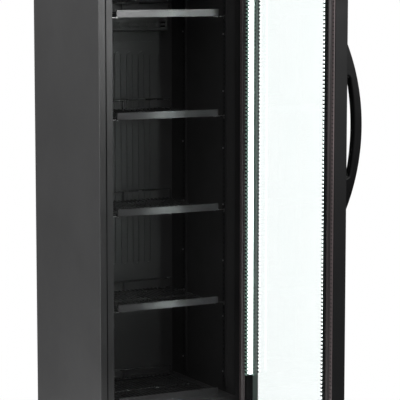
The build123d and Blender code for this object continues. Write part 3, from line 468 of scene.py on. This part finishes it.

# Painted light: the hinge-side strip and the lens trim get a brightened green-grey colour and a faint glow for
# the light bars' spill; the printed border gets a fainter glow.
SPILL = (0.55, 1.0, 0.82)
STRIP_PAINTED_SPILL = painted_spill_glow(coated("strip_rubber", (0.14, 0.19, 0.17), 0.30, 700.0, 0.00004), SPILL, 0.12)
STUD_BLACK = coated("stud_rubber", (0.004, 0.004, 0.004), 0.80, 700.0, 0.00003, vary=0.1, gloss=0.05)
DARK_STRIP = coated("dark_strip_rubber", (0.010, 0.012, 0.012), 0.45, 700.0, 0.00004, vary=0.1, gloss=0.3)
WINDOW_LIGHT = lit_lens("led_window", (0.90, 1.0, 0.98), 2.6, LED_PITCH)
TRIM_PAINTED_SPILL = painted_spill_glow(
    coated("trim_enamel", (0.12, 0.15, 0.138), 0.45, 700.0, 0.00003, vary=0.1, gloss=0.3), SPILL, 0.12)
BORDER_PRINT_PAINTED_GLOW = painted_spill_glow(
    coated("glass_border_print", (0.060, 0.068, 0.065), 0.50, 700.0, 0.00002, vary=0.1, gloss=0.1), SPILL, 0.02)
RIB_BROWN = coated("gasket_rib", (0.010, 0.006, 0.006), 0.5, 700.0, 0.00003)

STRIP_RISE, STRIP_SINK = 0.0012, 0.0002
STRIP_INSET = 0.0005
HINGE_STRIP_END, HANDLE_STRIP_END = -0.3465, -0.8595
TRIM_FRONT, TRIM_WIDTH = 0.2702, 0.0102
BORDER_FRONT, BORDER_BACK, BORDER_END = 0.2762, 0.2765, -0.3925
TOUCH = 0.0001


def reveal_strip(y0, y1):
    """A flat strip on the stile beside a light bar."""
    def fill(made):
        box_between(made, (DOOR_INNER - STRIP_RISE, y0, ROW_LOW), (DOOR_INNER + STRIP_SINK, y1, ROW_HIGH))
    return fill


def lens_trim(made):
    """A strip along each lens, on its edge beside the glass."""
    for y0, y1 in (
        (REVEAL_HINGE - TRIM_WIDTH, REVEAL_HINGE - TOUCH),
        (REVEAL_HANDLE + TOUCH, REVEAL_HANDLE + TRIM_WIDTH),
    ):
        box_between(made, (TRIM_FRONT, y0, ROW_LOW), (GLASS_FACE, y1, ROW_HIGH))


def glass_border(made):
    """The dark border printed on the inner pane along the hinge side."""
    box_between(made, (BORDER_FRONT, BORDER_END, GLASS_LOW), (BORDER_BACK, REVEAL_HINGE - TOUCH, ROW_HIGH))


def add_studs(name, heights, centre, half_across, half_up, rise, material, normal="x", rings=2):
    """A column of studs on the door; the sizes are in metres."""
    add(name, domes(heights, centre, normal, half_across, half_up, rise, rings), material, "door",
        True, DOOR_TURN)


add("door_reveal_strip_hinge_side", reveal_strip(REVEAL_HINGE + STRIP_INSET, HINGE_STRIP_END), STRIP_PAINTED_SPILL,
    "door", False, DOOR_TURN)
add("door_reveal_strip_handle_side", reveal_strip(HANDLE_STRIP_END, REVEAL_HANDLE - STRIP_INSET), DARK_STRIP,
    "door", False, DOOR_TURN)
add_studs("strip_studs_hinge_side", LED_ROWS, (DOOR_INNER - 0.0011, -0.3515), 0.0072, 0.0042, 0.0018,
          STUD_BLACK, rings=3)
add_studs("strip_studs_handle_side", LED_ROWS, (DOOR_INNER - 0.0011, -0.8500), 0.0062, 0.0038, 0.0018,
          STUD_BLACK, rings=3)
add("led_lens_trim", lens_trim, TRIM_PAINTED_SPILL, "door", False, DOOR_TURN)
add("glass_printed_border", glass_border, BORDER_PRINT_PAINTED_GLOW, "door", False, DOOR_TURN)
add_studs("lens_trim_studs", LED_ROWS, (0.2733, REVEAL_HINGE - 0.0101), 0.0031, 0.0043, 0.0009,
          STUD_BLACK, normal="y")
add_studs("border_dots", HALF_STEP, (GLASS_FACE, -0.3940), 0.0078, 0.0043, 0.0004,
          STUD_BLACK)
for side, outer_y, inner_y in (
    ("hinge", DOOR_HINGE_EDGE - 0.0085, -0.3422),
    ("handle", DOOR_FREE_EDGE + 0.0085, -0.8728),
):
    add_studs(f"gasket_base_ribs_{side}_side", LED_ROWS, (DOOR_INNER - 0.0027, outer_y), 0.0056, 0.0028, 0.0007,
              RIB_BROWN)
    add_studs(f"gasket_ribs_{side}_side", LED_ROWS, (DOOR_INNER - 0.0060, inner_y), 0.0036, 0.0042, 0.0010,
              RIB_BROWN)
for side, y in (("hinge", REVEAL_HINGE - 0.0048), ("handle", REVEAL_HANDLE + 0.0048)):
    add_studs(f"led_windows_{side}_side", LED_ROWS, (LED_FRONT, y), 0.0047, 0.0054, 0.0006,
              WINDOW_LIGHT)
add_studs("reveal_teeth_handle_side", HALF_STEP, (LED_FRONT, REVEAL_HANDLE + 0.0062), 0.0080, 0.0040, 0.0012,
          STUD_BLACK)


# ---------------------------------------------------------------- stage and light
FLOOR_RADIUS = 0.98
FLOOR_CENTRE = (0.03, -0.30, 0.0)
FLOOR_GLOW = 0.28


def stage_floor():
    """A pale disc that the object stands on."""
    made = bmesh.new()
    bmesh.ops.create_circle(made, cap_ends=True, segments=96, radius=FLOOR_RADIUS)
    mesh = bpy.data.meshes.new("floor")
    made.to_mesh(mesh)
    made.free()
    floor = bpy.data.objects.new("floor", mesh)
    floor.location = FLOOR_CENTRE
    bpy.context.scene.collection.objects.link(floor)
    paint = Material("floor_paint")
    grain = paint.noise(40.0, 3.0)
    paint.colour(paint.ramp(grain, (0.3, (0.86, 0.86, 0.86)), (0.7, (0.88, 0.88, 0.88))))
    paint.set(Roughness=0.8, Emission_Color=WHITE, Emission_Strength=FLOOR_GLOW)
    mesh.materials.append(paint.material)


stage_floor()

# What a ray meets in the studio by its height. Straight or through the glass, the camera sees plain white.
WORLD_STOPS = ((0.0, 0.10), (0.12, 0.75), (1.0, 1.0))
THROUGH_GLASS_LIFT = 0.35
NO_BOUNCE = 0.5

world = bpy.data.worlds.new("studio")
bpy.context.scene.world = world
world.use_nodes = True
tree = world.node_tree
background = tree.nodes["Background"]


def calculated(operation, first, second):
    """A Math node's output: each input is a socket or a number."""
    node = tree.nodes.new("ShaderNodeMath")
    node.operation = operation
    for socket, value in zip(node.inputs, (first, second)):
        if isinstance(value, float):
            socket.default_value = value
        else:
            tree.links.new(value, socket)
    return node.outputs[0]


place = tree.nodes.new("ShaderNodeTexCoord")
split = tree.nodes.new("ShaderNodeSeparateXYZ")
tree.links.new(place.outputs["Generated"], split.inputs["Vector"])
sky = tree.nodes.new("ShaderNodeValToRGB")
tree.links.new(split.outputs["Z"], sky.inputs["Fac"])
elements = sky.color_ramp.elements
elements.new(0.5)
for element, (where, level) in zip(elements, WORLD_STOPS):
    element.position = where
    element.color = (level, level, level, 1.0)

seen = tree.nodes.new("ShaderNodeLightPath")
through_glass = seen.outputs["Is Transmission Ray"]
for depth in ("Glossy Depth", "Diffuse Depth"):
    direct = calculated("LESS_THAN", seen.outputs[depth], NO_BOUNCE)
    through_glass = calculated("MULTIPLY", through_glass, direct)
mix = tree.nodes.new("ShaderNodeMix")
mix.data_type = "RGBA"
mix.inputs[MIX_B].default_value = WHITE
tree.links.new(calculated("MAXIMUM", seen.outputs["Is Camera Ray"], through_glass), mix.inputs["Factor"])
tree.links.new(sky.outputs["Color"], mix.inputs[MIX_A])
tree.links.new(mix.outputs[MIX_RESULT], background.inputs["Color"])
lift = calculated("MULTIPLY", through_glass, THROUGH_GLASS_LIFT)
tree.links.new(calculated("ADD", lift, 1.0), background.inputs["Strength"])


def softbox(name, place, aim_at, width, height, watts):
    """A rectangular lamp that the camera doesn't see."""
    data = bpy.data.lights.new(name, "AREA")
    data.shape = "RECTANGLE"
    data.size = width
    data.size_y = height
    data.energy = watts
    light = bpy.data.objects.new(name, data)
    light.location = place
    light.rotation_euler = (Vector(aim_at) - Vector(place)).to_track_quat("-Z", "Y").to_euler()
    light.visible_camera = False
    bpy.context.scene.collection.objects.link(light)


softbox("right_front", (1.6, -3.4, 2.25), (0.0, -0.3, 1.7), 1.7, 1.5, 66.0)
softbox("overhead", (-0.6, -1.6, 3.4), (0.0, 0.0, 1.0), 2.0, 2.0, 30.0)
